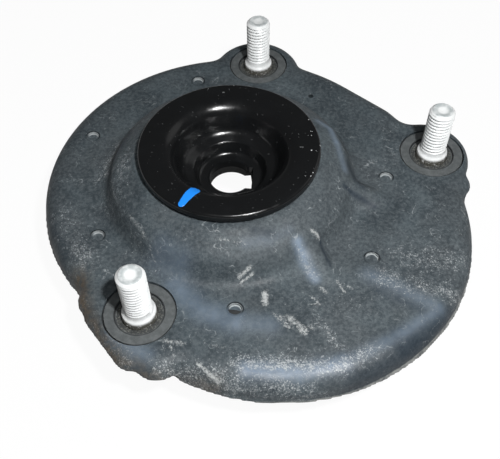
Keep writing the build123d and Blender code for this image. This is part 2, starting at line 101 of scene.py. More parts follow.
# Strokes of wear and dirt on the rubber: start, end, half width, strength
CHALKY_SCUFFS = (
    (11.9, -52.6, 11.7, -56.8, 2.0, 1.0),
    (15.0, -61.6, 19.9, -66.8, 1.8, 0.8),
    (20.1, -62.9, 24.8, -68.5, 2.2, 0.9),
    (15.0, -61.6, 20.4, -62.6, 1.3, 0.7),
    (22.0, -66.0, 28.0, -66.8, 1.6, 0.8),
    (-11.2, -78.7, -4.0, -84.6, 1.0, 1.0),
    (2.6, -47.8, 7.5, -45.5, 0.7, 1.0),
    (3.2, -49.2, 8.2, -46.6, 0.7, 0.9),
    (-36.1, -24.5, -30.2, -33.1, 1.2, 0.75),
    (-30.2, -33.1, -27.0, -40.0, 0.9, 0.7),
    (-37.0, -27.0, -28.1, -39.7, 1.1, 0.55),
    (-36.0, -29.5, -32.0, -35.0, 2.4, 0.55),
    (29.1, -32.8, 31.3, -33.5, 1.5, 0.95),
    (37.0, -48.0, 39.6, -53.0, 0.8, 0.95),
    (39.5, -49.5, 42.5, -51.5, 0.8, 0.9),
    (27.5, -54.2, 30.7, -57.6, 0.8, 0.95),
    (27.0, -57.5, 30.0, -57.9, 0.7, 0.85),
    (31.5, -51.0, 33.4, -53.0, 1.3, 0.9),
    (60.0, -54.0, 66.0, -51.5, 0.6, 0.8),
    (-3.5, -38.2, 5.0, -40.0, 1.5, 0.7),
    (5.0, -40.0, 13.0, -39.0, 1.2, 0.5),
    (43.1, 48.4, 52.0, 42.5, 1.3, 0.55),
    (88.0, -14.0, 89.5, -24.0, 1.6, 0.6),
    (84.0, -24.0, 86.0, -32.0, 1.6, 0.5),
    (-22.0, -70.6, -16.0, -72.0, 1.6, 0.85),
    (-20.0, -73.0, -18.5, -76.5, 0.8, 0.85),
    (-7.0, -72.5, -1.0, -74.0, 0.7, 0.8),
    (46.0, -61.6, 52.0, -64.0, 1.2, 0.55),
    (30.0, -68.0, 34.0, -76.0, 1.2, 0.55),
    (-57.0, -32.0, -53.0, -40.0, 2.2, 0.6),
    (-46.0, 9.0, -47.5, 2.0, 2.6, 0.6),
    (33.5, 22.0, 37.0, 17.5, 0.7, 0.6),
    (-55.5, 13.0, -50.0, 15.5, 1.0, 0.6),
    (-66.0, -16.0, -71.0, -19.0, 0.9, 0.6),
    (-64.0, -24.0, -68.0, -27.0, 0.9, 0.6),
    (-67.0, -8.0, -72.0, -9.0, 0.9, 0.5),
    (58.0, 2.0, 66.0, 12.0, 3.0, 0.42),
)
DUST_PATCHES = (
    (-52.0, -38.0, -56.0, -30.0, 6.0, 0.65),
    (-60.0, -22.0, -64.0, -14.0, 6.0, 0.5),
    (-45.0, 18.0, -49.5, 3.0, 5.0, 0.75),
    (-36.0, -36.0, -28.0, -46.0, 6.0, 0.3),
    (2.0, -79.0, 36.0, -81.0, 3.6, 0.9),
    (4.0, -80.5, 32.0, -82.0, 1.8, 1.0),
    (24.5, -39.0, 28.8, -46.5, 1.8, 0.85),
    (34.0, -81.0, 46.0, -76.0, 3.6, 0.8),
    (-24.0, -80.0, 2.0, -85.0, 4.5, 0.8),
    (2.0, -86.0, 26.0, -88.0, 3.0, 0.7),
    (54.0, -47.0, 80.0, -55.0, 5.2, 0.72),
    (-40.0, 2.0, -44.0, -14.0, 7.0, 0.55),
    (62.0, -38.0, 84.0, -40.0, 7.0, 0.6),
    (28.0, -56.0, 44.0, -56.0, 9.0, 0.3),
    (30.0, -64.0, 36.0, -74.0, 3.0, 0.6),
    (-72.0, 18.0, -73.0, -12.0, 3.0, 0.6),
    (-60.0, -40.0, -52.0, -56.0, 4.0, 0.6),
    (-50.0, -62.0, -34.0, -78.0, 4.0, 0.6),
    (55.0, 2.0, 68.0, 14.0, 6.0, 0.35),
)
BROWN_EDGES = (
    (-54.5, -44.0, -51.0, -60.0, 4.0, 0.9),
    (-51.0, -60.0, -40.0, -75.0, 4.0, 0.8),
    (-24.0, -84.0, -6.0, -86.0, 3.0, 0.6),
    (-40.0, -75.0, -24.0, -84.0, 3.0, 0.5),
)
# Smooth blue-grey bands where the mould has polished the rubber, their colour lightened as a painted sheen and painted
# highlights along ribs, ridges and crests
POLISHED_SHEEN_BANDS = (
    (-19.6, -48.6, -10.6, -59.1, 4.2, 0.5),
    (-10.6, -59.1, 1.4, -64.1, 4.2, 0.5),
    (1.4, -64.1, 13.2, -65.5, 3.6, 0.35),
    (-24.9, -39.3, -17.8, -44.2, 4.5, 0.35),
    (23.8, -37.6, 26.3, -41.7, 1.8, 0.95),
    (26.3, -41.7, 29.7, -47.6, 1.6, 0.9),
    (34.9, 19.5, 39.6, 16.6, 1.2, 0.5),
    (39.6, 16.6, 41.5, 8.0, 1.2, 0.55),
    (41.5, 8.0, 43.5, -4.4, 1.2, 0.4),
    (5.3, -39.6, 14.0, -38.2, 1.9, 0.2),
    (14.0, -38.2, 21.1, -34.2, 1.9, 0.15),
    (5.0, -81.5, 22.3, -83.0, 2.6, 0.9),
    (22.3, -83.0, 37.1, -79.8, 2.6, 0.8),
    (37.1, -79.8, 56.4, -70.3, 2.2, 0.4),
    (56.4, -70.3, 71.7, -60.2, 2.2, 0.5),
    (49.2, -45.9, 68.3, -58.8, 3.0, 0.35),
    (-40.0, -68.0, -28.0, -76.0, 3.0, 0.4),
)
# Painted shade along creases and hollows and on the rim's shaded sides: start, end, half width, strength
PAINTED_SHADE_STROKES = (
    (42.8, -11.6, 49.6, -13.0, 1.0, 0.9),
    (49.6, -13.0, 54.5, -15.2, 0.9, 1.0),
    (31.8, -33.5, 35.2, -43.0, 0.6, 0.8),
    (-39.8, 19.6, -43.6, 8.8, 1.4, 0.8),
    (-43.6, 8.8, -44.8, -4.0, 1.6, 0.2),
    (8.0, -35.4, 15.0, -36.0, 1.2, 0.6),
    (46.0, 0.0, 50.0, -8.0, 2.0, 0.6),
    (52.0, -52.0, 66.0, -61.0, 2.6, 0.5),
    (58.0, -75.0, 80.0, -60.0, 4.5, 0.8),
    (40.0, -87.0, 58.0, -77.0, 4.0, 0.6),
    (-73.5, 28.0, -74.5, -12.0, 3.5, 0.7),
    (-72.0, -12.0, -62.0, -34.0, 3.0, 0.5),
    (86.0, -50.0, 94.0, -28.0, 3.0, 0.6),
)
# The pressed cup's section: radius, height and bend of each corner, from the floor's middle round to its underside
CUP_SECTION = (
    (0.0, 2.6, 0.0), (12.17, 2.6, 2.2), (14.05, 7.48, 0.8), (18.1, 9.3, 4.6), (22.45, 20.0, 7.2), (34.1, 20.0, 1.2),
    (34.1, 17.0, 0.5), (24.34, 17.0, 4.2), (19.08, 6.09, 3.3), (16.35, 5.12, 0.3), (14.23, -0.4, 4.0), (0.0, -0.4, 0.0),
)
BEND_STEPS = 8
ROD_HOLE_RADIUS = 8.2
ROD_FLAT_DISTANCE = 8.5
ROD_FLAT_WIDTH = 11.0
ROD_FLAT_TURN = 5.5
# Forms moulded into the rubber: start, end, half width, height
SOFT_FORMS = (
    (44.5, -24.0, 49.0, -28.5, 12.0, -0.6),
    (46.0, -44.0, 76.0, -58.5, 4.0, 0.7),
    (-20.0, -47.0, -10.6, -58.4, 3.6, 0.5),
    (-10.6, -58.4, 1.4, -63.4, 3.6, 0.5),
    (1.4, -63.4, 14.0, -65.0, 3.6, 0.5),
    (34.9, 20.5, 40.6, 17.0, 2.2, 0.7),
    (40.6, 17.0, 42.8, 8.0, 2.2, 0.8),
    (42.8, 8.0, 44.4, -4.4, 2.2, 0.6),
    (43.5, -10.6, 54.5, -14.8, 1.6, -0.25),
    (31.5, -33.5, 35.0, -43.4, 1.3, -0.25),
    (-39.5, 19.6, -43.8, 6.0, 1.8, -0.5),
)
# Wear, dirt, painted sheen and painted shade, by the name under which each is kept at the cover's vertices
WEAR_AND_PAINTED_LIGHT = {
    "dust": DUST_PATCHES,
    "polish_and_sheen": POLISHED_SHEEN_BANDS,
    "painted_shade": PAINTED_SHADE_STROKES,
    "scuff": CHALKY_SCUFFS,
    "brown": BROWN_EDGES,
}
# How these kinds of node are set unless a call says otherwise
USUAL_SETTINGS = {
    "MapRange": {"interpolation_type": "SMOOTHSTEP"},
    "Math": {"operation": "MULTIPLY"},
    "Mix": {"data_type": "RGBA"},
}


def show_nothing():
    """Leaves object mode with nothing selected, so that a new piece starts alone."""
    if bpy.context.mode != "OBJECT":
        bpy.ops.object.mode_set(mode="OBJECT")
    bpy.ops.object.select_all(action="DESELECT")


def show_only(*objects):
    """Leaves object mode with just these selected, the first of them active."""
    show_nothing()
    for thing in objects:
        thing.select_set(True)
    bpy.context.view_layer.objects.active = objects[0]


def settle(piece, name, material, body):
    """Names a finished piece, puts its place into its mesh and hands it to the frame."""
    show_only(piece)
    bpy.ops.object.transform_apply(location=True, rotation=True, scale=True)
    piece.name = name
    piece.data.name = name
    piece.data.materials.clear()
    piece.data.materials.append(material)
    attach(piece, body)


def apply_all(piece):
    """Applies a piece's modifiers in order."""
    show_only(piece)
    for name in [modifier.name for modifier in piece.modifiers]:
        bpy.ops.object.modifier_apply(modifier=name)


def linear(hex_colour):
    """A written sRGB colour as the linear values that a shader takes."""
    values = [int(hex_colour[i : i + 2], 16) / 255 for i in (1, 3, 5)]
    return tuple(v / 12.92 if v <= 0.04045 else ((v + 0.055) / 1.055) ** 2.4 for v in values) + (1.0,)


def feed(tree, value, socket):
    """Sets a socket to a value or a written colour, or links it to an output or to a node's first one in use."""
    if isinstance(value, bpy.types.Node):
        value = next(output for output in value.outputs if output.enabled)
    if isinstance(value, bpy.types.NodeSocket):
        tree.links.new(value, socket)
    else:
        socket.default_value = linear(value) if isinstance(value, str) else value


def add_node(tree, kind, *values, **named):
    """Adds a node with its settings and links.

    Values fill the node's sockets in order. Of the named ones, those in small letters are settings, others sockets.
    """
    made = tree.nodes.new("ShaderNode" + kind)
    settings = {name: value for name, value in named.items() if name.islower()}
    for name, value in (USUAL_SETTINGS.get(kind, {}) | settings).items():
        setattr(made, name, value)
    for socket, value in zip([socket for socket in made.inputs if socket.enabled], values):
        feed(tree, value, socket)
    for name, value in named.items():
        if name not in settings:
            feed(tree, value, made.inputs[name])
    return made


class Finish:
    """A procedural material under construction, with its patterns laid in millimetres."""

    def __init__(self, name, **shading):
        self.material = bpy.data.materials.new(name)
        self.material.use_nodes = True
        self.tree = self.material.node_tree
        self.tree.nodes.clear()
        self.shader = self.add("BsdfPrincipled", **shading)
        self.out = self.add("OutputMaterial", self.shader)
        self.place = self.add("TexCoord").outputs["Object"]

    def add(self, kind, *values, **named):
        """Adds a node to this material, as add_node says."""
        return add_node(self.tree, kind, *values, **named)

    def drive(self, socket, value):
        """Feeds one socket of the shader."""
        feed(self.tree, value, self.shader.inputs[socket])

    def pattern(self, size, detail=3.0, rough=0.55, turn=0.0):
        """Noise whose features are about size millimetres across, turned about the rod's axis.

        Real grain and plating are finer than the picture's pixels of about 0.4 mm, so they are drawn that coarse.
        """
        placed = self.add("Mapping", self.place, Scale=(1 / (size * MM),) * 3, Rotation=(0, 0, turn))
        return self.add("TexNoise", placed, 1.0, detail, rough)

    def distance(self, x, y):
        """Distance in millimetres, seen from above, to a place over the plate."""
        plan = self.add("VectorMath", self.place, (1 / MM, 1 / MM, 0), operation="MULTIPLY")
        return self.add("VectorMath", plan, (x, y, 0), operation="DISTANCE")

    def nearest(self, centres, shift=(0.0, 0.0)):
        """Distance in millimetres, seen from above, to the nearest of some shifted centres."""
        near = None
        for x, y in centres:
            far = self.distance(x + shift[0], y + shift[1])
            near = far if near is None else self.add("Math", near, far, operation="MINIMUM")
        return near


def hair_scratches(f, mottle):
    """Scratches as fine as hairs: the contour lines of slow noise, broken up into short curls."""
    hairs = None
    for size, turn in ((5.0, 0.4), (8.0, 1.3)):
        level = f.add("Math", f.pattern(size, 2, 0.5, turn=turn), 0.5, operation="SUBTRACT")
        line = f.add("MapRange", f.add("Math", level, operation="ABSOLUTE"), 0.01, 0.002)
        line = f.add("Math", line, f.add("MapRange", f.pattern(size * 1.4, 2, turn=2 + turn), 0.52, 0.66))
        hairs = line if hairs is None else f.add("Math", hairs, line, operation="MAXIMUM")
    return f.add("Math", hairs, f.add("MapRange", mottle, 0.42, 0.62, 0.1, 0.75))


def ringed_dimples(f, colour):
    """Draws a painted shadow as a dark outline behind each core-pin dimple, a painted highlight as a pale edge on its
    far wall inside that, and the small one dark as painted shade in its pit.
    """
    near = f.nearest(DIMPLE_CENTRES)
    behind = f.add("Math", f.nearest(DIMPLE_CENTRES, (-0.35, -0.95)), near, operation="SUBTRACT")
    painted_shadow = f.add("Math", f.add("MapRange", near, 2.5, 2.6), f.add("MapRange", near, 3.25, 2.9))
    painted_shadow = f.add("Math", painted_shadow, f.add("MapRange", behind, -0.5, 0.5, 0.25, 0.9))
    wear_and_highlight = f.add("Math", f.add("MapRange", near, 1.8, 2.2), f.add("MapRange", near, 2.6, 2.45))
    wear_and_highlight = f.add("Math", wear_and_highlight, f.add("MapRange", behind, 0.1, 0.8, 0.0, 0.62))
    # Painted shadow behind the far edge, painted highlight on the lit far wall, painted shade in the small pit
    colour = f.add("Mix", painted_shadow, colour, "#12181c")
    colour = f.add("Mix", wear_and_highlight, colour, "#c3c8c9")
    return f.add("Mix", f.add("MapRange", f.nearest((SMALL_DIMPLE,)), 1.3, 1.0, 0.0, 0.8), colour, "#151a1d")


def worn_foot(f, colour, smear):
    """Wears the rim's foot pale, and higher up towards the right."""
    place = f.add("SeparateXYZ", f.place).outputs
    facing = f.add("SeparateXYZ", f.add("NewGeometry").outputs["Normal"]).outputs["Z"]
    level = f.add("MapRange", place["X"], 35 * MM, 70 * MM, 0.0, -1.8 * MM)
    level = f.add("Math", place["Z"], level, operation="ADD")
    wear_and_highlight = f.add("MapRange", level, -8.0 * MM, -8.8 * MM)
    wear_and_highlight = f.add("Math", wear_and_highlight, f.add("MapRange", place["X"], 0.0, 30 * MM))
    wear_and_highlight = f.add("Math", wear_and_highlight, f.add("MapRange", facing, -0.85, -0.6))
    wear_and_highlight = f.add("Math", wear_and_highlight, f.add("MapRange", smear, 0.32, 0.62, 0.2, 0.95))
    return f.add("Mix", wear_and_highlight, colour, "#9b9d9a")


def moulded_rubber(settings):
    """Black moulded rubber gone blue-grey: a soft sheen, painted sheen on its polished bands, painted shade in its
    creases and on the rim's shaded sides, painted shadows and highlights at the dimples, chalky dust, scuffs and brown
    stains at the rim.
    """
    f = Finish("moulded rubber, weathered")
    cloud = f.add("MapRange", f.pattern(17, 4), 0.34, 0.68)
    warm = f.add("MapRange", f.pattern(31, 2), 0.42, 0.62, 0.0, 0.5)
    mottle = f.pattern(1.3, 6, 0.75)
    speck = f.pattern(0.55, 5, 0.7)
    smear = f.pattern(2.6, 5, 0.65)
    dust, polish_and_sheen, painted_shade, scuff, brown = (f.add("Attribute", attribute_name=name).outputs["Fac"] for name in WEAR_AND_PAINTED_LIGHT)

    colour = f.add("Mix", cloud, settings.rubber_colour, "#4c565b")
    colour = f.add("Mix", warm, colour, "#484d50")
    colour = f.add("Mix", f.add("MapRange", mottle, 0.42, 0.66, 0.0, 0.5), colour, "#636a6d")
    colour = f.add("Mix", f.add("MapRange", mottle, 0.54, 0.34, 0.0, 0.45), colour, "#292f33")
    # Painted sheen: the polished bands are lightened where their highlights fall, besides being glossier
    painted_sheen = f.add("Math", polish_and_sheen, f.add("MapRange", smear, 0.2, 0.6, 0.95, 0.6))
    colour = f.add("Mix", painted_sheen, colour, settings.sheen_colour)
    # Painted shade darkens the creases, hollows and the rim's shaded sides
    colour = f.add("Mix", f.add("Math", painted_shade, 0.85), colour, "#1b2733")

    # Loose chalk lies in specks, so each patch of dust is broken up by noise that its strength lets through
    veil = f.add("Math", dust, f.add("MapRange", smear, 0.35, 0.7, 0.05, 0.3))
    level = f.add("Math", speck, f.add("Math", dust, 0.21), operation="ADD")
    level = f.add("Math", level, f.add("Math", smear, 0.34), operation="ADD")
    clots = f.add("Math", f.pattern(1.7, 5, 0.7), f.add("Math", dust, 0.2), operation="ADD")
    clots = f.add("MapRange", clots, 0.72, 0.8, 0.0, 0.8)
    chalk = f.add("Math", f.add("MapRange", level, 0.83, 0.99, 0.0, 0.9), clots, operation="MAXIMUM")
    stray = f.add("MapRange", f.pattern(1.5, 5, 0.7), 0.67, 0.78, 0.0, 0.5)
    colour = f.add("Mix", veil, colour, "#7d8285")
    colour = f.add("Mix", chalk, colour, settings.dust_colour)
    colour = f.add("Mix", stray, colour, "#989c9d")
    colour = f.add("Mix", hair_scratches(f, mottle), colour, "#a3a8aa")
    stain = f.add("Math", brown, f.add("MapRange", smear, 0.3, 0.62, 0.1, 0.8))
    colour = f.add("Mix", stain, colour, "#5f4e38")

    ragged = f.add("Math", f.pattern(0.9, 6, 0.8), 0.95)
    mark = f.add("MapRange", f.add("Math", f.add("Math", scuff, 0.42), ragged, operation="ADD"), 0.72, 0.98, 0.0, 0.9)
    mark = f.add("Math", mark, f.add("MapRange", scuff, 0.02, 0.35))
    colour = f.add("Mix", mark, colour, "#bfc2c1")
    # The dimples get a painted shadow, a painted highlight and painted shade in the small pit
    f.drive("Base Color", worn_foot(f, ringed_dimples(f, colour), smear))

    dullness = f.add("MapRange", f.add("Math", cloud, chalk, operation="ADD"), 0.0, 1.4, 0.46, 0.72)
    f.drive("Roughness", f.add("Math", dullness, f.add("Math", polish_and_sheen, 0.12), operation="SUBTRACT"))
    f.drive("Specular IOR Level", f.add("MapRange", polish_and_sheen, 0.0, 1.0, 0.3, 0.6))
    waves = f.add("Bump", Height=f.pattern(7, 3), Distance=0.3 * MM)
    grain = f.add("Bump", Height=speck, Distance=0.08 * MM, Normal=waves)
    f.drive("Normal", f.add("Bump", Height=f.pattern(0.45, 2), Distance=0.035 * MM, Normal=grain))
    return f.material


def zinc_plated(settings):
    """Bright zinc on a rolled thread: pale grey with dull patches and a little grime low down."""
    f = Finish("zinc plating")
    dull = f.add("MapRange", f.pattern(3.2, 4), 0.4, 0.68)
    fine = f.pattern(0.35, 3)
    height = f.add("SeparateXYZ", f.place).outputs["Z"]
    foot = f.add("MapRange", f.pattern(0.9, 3), 0.28, 0.5, 0.55, 1.0)
    foot = f.add("Math", f.add("MapRange", height, 2.2 * MM, 0.8 * MM), foot)
    tip = f.add("MapRange", f.pattern(2.4, 3), 0.35, 0.62, 0.45, 0.95)
    tip = f.add("Math", f.add("MapRange", height, 23.2 * MM, 23.5 * MM), tip)
    colour = f.add("Mix", f.add("MapRange", dull, 0.0, 1.0, 0.0, 0.45), settings.zinc_colour, "#d8dbda")
    colour = f.add("Mix", f.add("MapRange", fine, 0.55, 0.8, 0.0, 0.4), colour, "#a3a5a2")
    colour = f.add("Mix", foot, colour, "#4b4a44")
    f.drive("Base Color", f.add("Mix", tip, colour, "#a9b0b1"))
    f.drive("Roughness", f.add("MapRange", f.pattern(1.6, 3), 0.3, 0.7, 0.3, 0.5))
    f.drive("Normal", f.add("Bump", Height=fine, Distance=0.02 * MM))
    return f.material


def paint_dab(f, height):
    """A dab of paint drawn as a row of discs that widens along its run, with a wandering edge."""
    wobble = f.add("Math", f.add("Math", f.pattern(2.6, 2), 0.5, operation="SUBTRACT"), 0.5)
    dab = None
    for step in range(15):
        t = step / 14
        far = f.distance(-16.5 + 3.2 * t + t * t, -27.8 + 6.4 * t)
        reach = f.add("Math", far, wobble, operation="ADD")
        reach = f.add("Math", reach, 1.25 + 0.75 * t, operation="SUBTRACT")
        dab = reach if dab is None else f.add("Math", dab, reach, operation="MINIMUM")
    return f.add("Math", f.add("MapRange", dab, 0.15, -0.15), f.add("MapRange", height, 9.0 * MM, 9.5 * MM))


def gloss_black(settings):
    """Black electrocoat on the pressed cup: deep gloss with faint orange peel, dust specks and a blue paint mark."""
    f = Finish("gloss black electrocoat")
    place = f.add("SeparateXYZ", f.place).outputs
    # Dust has gathered on the flange's right and far sides
    right = f.add("MapRange", place["X"], 24 * MM, 31 * MM)
    far = f.add("MapRange", place["Y"], 27 * MM, 33 * MM)
    gathered = f.add("Math", f.add("Math", right, far, operation="MAXIMUM"), 0.93)
    specks = f.add("MapRange", f.pattern(1.15, 1, 0.3), 0.735, 0.765, 0.0, 0.9)
    specks = f.add("Math", specks, f.add("Math", gathered, 0.07, operation="ADD"))
    film = f.add("MapRange", f.pattern(9, 3), 0.5, 0.75, 0.0, 0.2)
    dab = paint_dab(f, place["Z"])
    colour = f.add("Mix", specks, settings.cup_colour, "#b9bcbc")
    colour = f.add("Mix", film, colour, "#1e2022")
    f.drive("Base Color", f.add("Mix", dab, colour, settings.paint_mark_colour))
    sheen = f.add("MapRange", f.pattern(5, 3), 0.35, 0.7, 0.16, 0.27)
    f.drive("Roughness", f.add("Math", sheen, f.add("Math", dab, 0.45), operation="MAXIMUM"))
    # The rod hole's bore is in the dark and mirrors nothing
    f.drive("Specular IOR Level", f.add("MapRange", f.distance(0, 0), 8.5, 9.2, 0.03, 0.5))
    peel = f.add("Bump", Height=f.pattern(1.8, 2), Distance=0.012 * MM)
    f.drive("Normal", f.add("Bump", Height=dab, Distance=0.12 * MM, Normal=peel))
    return f.material


def coated_plate():
    """Dark coat on the pressed plate, dull grey, dusty and worn thin on the pads around the studs, with painted shade
    round each pad's edge.
    """
    f = Finish("dark plate coating")
    colour = f.add("Mix", f.add("MapRange", f.pattern(2.2, 4), 0.38, 0.68), "#505455", "#5e6263")
    colour = f.add("Mix", f.add("MapRange", f.pattern(0.6, 3), 0.6, 0.75, 0.0, 0.35), colour, "#777874")
    # Grime lies round each stud's foot, and a ring round it, where its press tool left a dish, is darkened
    near = f.nearest(STUDS.values())
    grime = f.add("Math", near, f.add("Math", f.pattern(0.8, 3), 1.2), operation="ADD")
    grit = f.add("Mix", f.add("MapRange", f.pattern(0.45, 3), 0.5, 0.66), "#272929", "#74746d")
    ring = f.add("Math", f.add("MapRange", near, 8.2, 8.5), f.add("MapRange", near, 9.1, 8.8))
    colour = f.add("Mix", f.add("MapRange", grime, 9.3, 8.2, 0.0, 0.8), colour, grit)
    colour = f.add("Mix", f.add("Math", ring, 0.8), colour, "#16181a")
    # Painted shade: a dark band round each pad's edge, where the rubber's opening meets the plate
    f.drive("Base Color", f.add("Mix", f.add("MapRange", near, 12.2, 12.8, 0.0, 0.85), colour, "#1b1d1f"))
    f.drive("Roughness", f.add("MapRange", f.pattern(2, 3), 0.3, 0.7, 0.45, 0.68))
    f.drive("Normal", f.add("Bump", Height=f.pattern(0.6, 3), Distance=0.05 * MM))
    return f.material


def phosphated_steel():
    """Grey-black phosphated steel with a dry, slightly mottled face."""
    f = Finish("phosphated steel", Metallic=0.55)
    f.drive("Base Color", f.add("Mix", f.add("MapRange", f.pattern(4, 5), 0.35, 0.7), "#3d3f41", "#5d5e5e"))
    f.drive("Roughness", f.add("MapRange", f.pattern(1.5, 3), 0.3, 0.7, 0.42, 0.62))
    f.drive("Normal", f.add("Bump", Height=f.pattern(0.4, 3), Distance=0.03 * MM))
    return f.material


def dull_black(name, dark, light, roughness):
    """Plain rubber or a black phosphated shell: dull, with a light bloom and a fine grain."""
    f = Finish(name)
    f.drive("Base Color", f.add("Mix", f.add("MapRange", f.pattern(6, 4), 0.4, 0.7), dark, light))
    f.drive("Roughness", f.add("MapRange", f.pattern(2, 3), 0.3, 0.7, roughness - 0.08, roughness + 0.1))
    f.drive("Normal", f.add("Bump", Height=f.pattern(0.5, 2), Distance=0.06 * MM))
    return f.material


def moulded_nylon(name, dark, light):
    """Moulded nylon: even colour, a satin face and the faint texture of the tool."""
    f = Finish(name)
    f.drive("Base Color", f.add("Mix", f.add("MapRange", f.pattern(11, 3), 0.4, 0.7), dark, light))
    f.drive("Roughness", f.add("MapRange", f.pattern(3, 2), 0.3, 0.7, 0.38, 0.5))
    f.drive("Normal", f.add("Bump", Height=f.pattern(0.3, 2), Distance=0.02 * MM))
    return f.material


def ground_steel():
    """Ground and polished bearing steel under a film of grease."""
    f = Finish("ground bearing steel", Metallic=1.0)
    f.drive("Base Color", f.add("Mix", f.add("MapRange", f.pattern(5, 3), 0.45, 0.7), "#c3c6c9", "#a39f92"))
    f.drive("Roughness", f.add("MapRange", f.pattern(2, 3), 0.3, 0.7, 0.14, 0.3))
    f.drive("Normal", f.add("Bump", Height=f.pattern(0.25, 2), Distance=0.006 * MM))
    return f.material


def fade(values, start, reach):
    """How far values have come from start towards start + reach, held between 0 and 1."""
    return np.clip((values - start) / reach, 0, 1)


def vertex_rows(values, key):
    """Three numbers for each vertex, such as its place or its normal."""
    rows = np.empty(len(values) * 3)
    values.foreach_get(key, rows)
    return rows.reshape(-1, 3)


def stroke_weight(places, strokes):
    """How strongly each place over the plate is touched by a set of strokes, from 0 to 1."""
    weight = np.zeros(len(places))
    for x0, y0, x1, y1, half, strength in strokes:
        start, run = np.array((x0, y0)), np.array((x1 - x0, y1 - y0))
        along = np.clip(((places - start) @ run) / (run @ run), 0, 1)
        far = np.linalg.norm(places - start - along[:, None] * run, axis=1) / half
        weight = np.maximum(weight, strength * np.exp(-far * far * 0.9))
    return weight


def remeshed_copy(node_name, voxel, rounds, plugs=()):
    """A copy of a solid in even small faces with its edges softened, as a moulding has them."""
    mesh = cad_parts[node_name].data.copy()
    piece = bpy.data.objects.new(node_name + "_copy", mesh)
    bpy.context.scene.collection.objects.link(piece)
    if plugs:
        show_only(piece, *plugs)
        bpy.ops.object.join()
    show_only(piece)
    bpy.ops.object.mode_set(mode="EDIT")
    bpy.ops.mesh.customdata_custom_splitnormals_clear()
    bpy.ops.mesh.select_all(action="SELECT")
    bpy.ops.mesh.remove_doubles(threshold=0.01 * MM)
    bpy.ops.object.mode_set(mode="OBJECT")
    remesh = piece.modifiers.new("even faces", "REMESH")
    remesh.mode = "VOXEL"
    remesh.voxel_size = voxel
    remesh.use_smooth_shade = True
    soften = piece.modifiers.new("soften", "SMOOTH")
    soften.factor = 0.5
    soften.iterations = rounds
    apply_all(piece)
    return piece


def weigh(piece, weights):
    """Marks a piece's vertices with weights, in tenths, for one modifier to read."""
    group = piece.vertex_groups.new(name="weights")
    for step in range(1, 11):
        chosen = np.nonzero(np.round(weights * 10) == step)[0]
        if len(chosen):
            group.add(chosen.tolist(), step / 10, "REPLACE")


def melt_edges(piece, weights, rounds):
    """Smooths a piece further where its weights say, so that one form flows into the next."""
    weigh(piece, weights)
    melt = piece.modifiers.new("melt", "SMOOTH")
    melt.factor = 0.5
    melt.iterations = rounds
    melt.vertex_group = "weights"
    apply_all(piece)
    piece.vertex_groups.clear()


def hug_solid(piece, weights, node_name):
    """Draws a piece back onto its solid where its weights say, as a remesh steps along a thin edge."""
    weigh(piece, weights)
    hug = piece.modifiers.new("hug", "SHRINKWRAP")
    hug.wrap_method = "NEAREST_SURFACEPOINT"
    hug.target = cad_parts[node_name]
    hug.vertex_group = "weights"
    apply_all(piece)
    piece.vertex_groups.clear()


def discs(places, radius, bottom, top):
    """Upright round discs at places over the plate, in millimetres."""
    made = []
    height = top - bottom
    for x, y in places:
        show_nothing()
        bpy.ops.mesh.primitive_cylinder_add(
            vertices=64, radius=radius * MM, depth=height * MM, location=(x * MM, y * MM, (bottom + height / 2) * MM)
        )
        bpy.ops.object.transform_apply(location=True, rotation=False, scale=False)
        made.append(bpy.context.active_object)
    return made


def cut_openings(piece, cutters):
    """Cuts openings with crisp edges out of a piece."""
    show_only(*cutters)
    bpy.ops.object.join()
    cutter = bpy.context.active_object
    cut = piece.modifiers.new("openings", "BOOLEAN")
    cut.operation = "DIFFERENCE"
    cut.solver = "MANIFOLD"
    cut.object = cutter
    apply_all(piece)
    bpy.data.objects.remove(cutter)


def shape_cover(piece):
    """Raises the cover's soft forms, melts its ribs together and draws its foot back onto the solid."""
    mesh = piece.data
    points = vertex_rows(mesh.vertices, "co") / MM
    plan = points[:, :2]
    radius = np.hypot(plan[:, 0], plan[:, 1])
    # The cup's seat and the stud pads keep their height
    free = fade(radius, 26.5, 4.0)
    for x, y in STUDS.values():
        free *= fade(np.hypot(plan[:, 0] - x, plan[:, 1] - y), 15.0, 4.0)
    lift = np.zeros(len(points))
    for *stroke, height in SOFT_FORMS:
        lift += height * stroke_weight(plan, ((*stroke, 1.0),))
    points[:, 2] += lift * fade(points[:, 2], -3.0, 3.0) * free
    mesh.vertices.foreach_set("co", (points * MM).ravel())
    mesh.update()
    # The ribs melt where they face up, between the cup's seat and the row of dimples
    ribs = fade(radius, 31.0, 5.0) * fade(radius, 62.0, -6.0) * free
    ribs *= fade(vertex_rows(mesh.vertex_normals, "vector")[:, 2], 0.1, 0.3)
    melt_edges(piece, ribs, 50)
    foot = fade(points[:, 2], -4.0, -2.0)
    hug_solid(piece, foot, "rubber_cover")
    melt_edges(piece, foot, 5)


def mark_cover(piece):
    """Keeps the strokes of wear, dirt, painted sheen and painted shade at the cover's vertices, as numbers for its
    finish to read.
    """
    points = vertex_rows(piece.data.vertices, "co") / MM
    for name, strokes in WEAR_AND_PAINTED_LIGHT.items():
        weight = stroke_weight(points[:, :2], strokes)
        # Brown stains stay low on the rim
        if name == "brown":
            weight *= fade(points[:, 2], 2.0, -3.5)
        attribute = piece.data.attributes.new(name, "FLOAT", "POINT")
        attribute.data.foreach_set("value", weight.astype(np.float32))


COLOUR = {"subtype": "COLOR", "size": 4, "min": 0.0, "max": 1.0}


